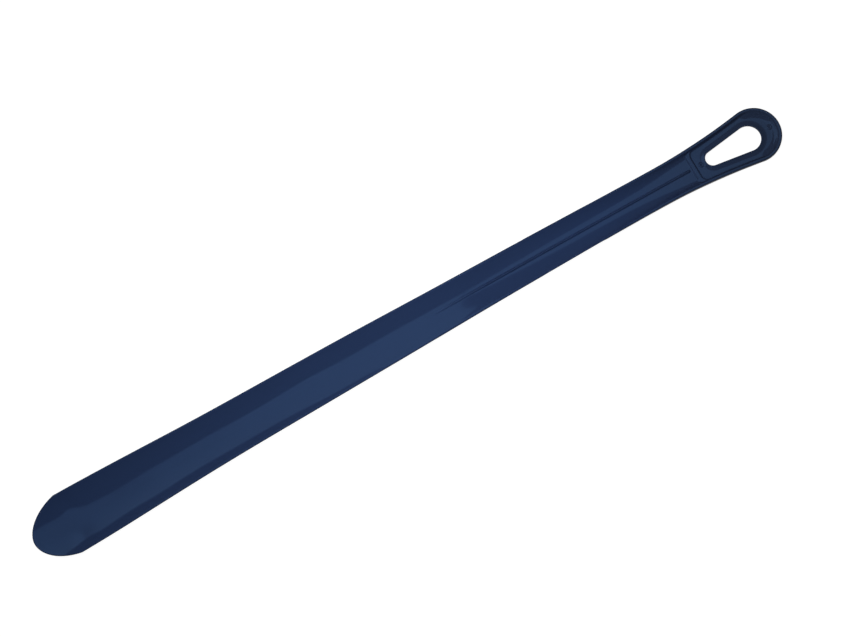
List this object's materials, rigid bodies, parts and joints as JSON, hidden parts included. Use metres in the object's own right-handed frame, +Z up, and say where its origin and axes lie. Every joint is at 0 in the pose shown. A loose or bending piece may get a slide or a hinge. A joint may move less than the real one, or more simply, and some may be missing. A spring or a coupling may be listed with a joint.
{
  "type": "long-handled shoehorn",
  "caption": "Long-handled plastic shoehorn: open trough blade with a rounded tip, ribbed shaft, and a loop handle with a teardrop hanging hole.",
  "frame": {"origin": "middle of the footprint, on the surface the shoehorn lies on, trough up", "axes": "+X from the blade's tip to the handle's loop, +Y across, +Z up out of the open trough"},
  "size_m": [0.6, 0.0456, 0.0149],
  "materials": {
    "navy_polypropylene": "glossy moulded plastic, dark navy blue"
  },
  "bodies": {
    "root": {"blade": "navy_polypropylene", "shaft": "navy_polypropylene", "handle": "navy_polypropylene"}
  },
  "joints": []
}
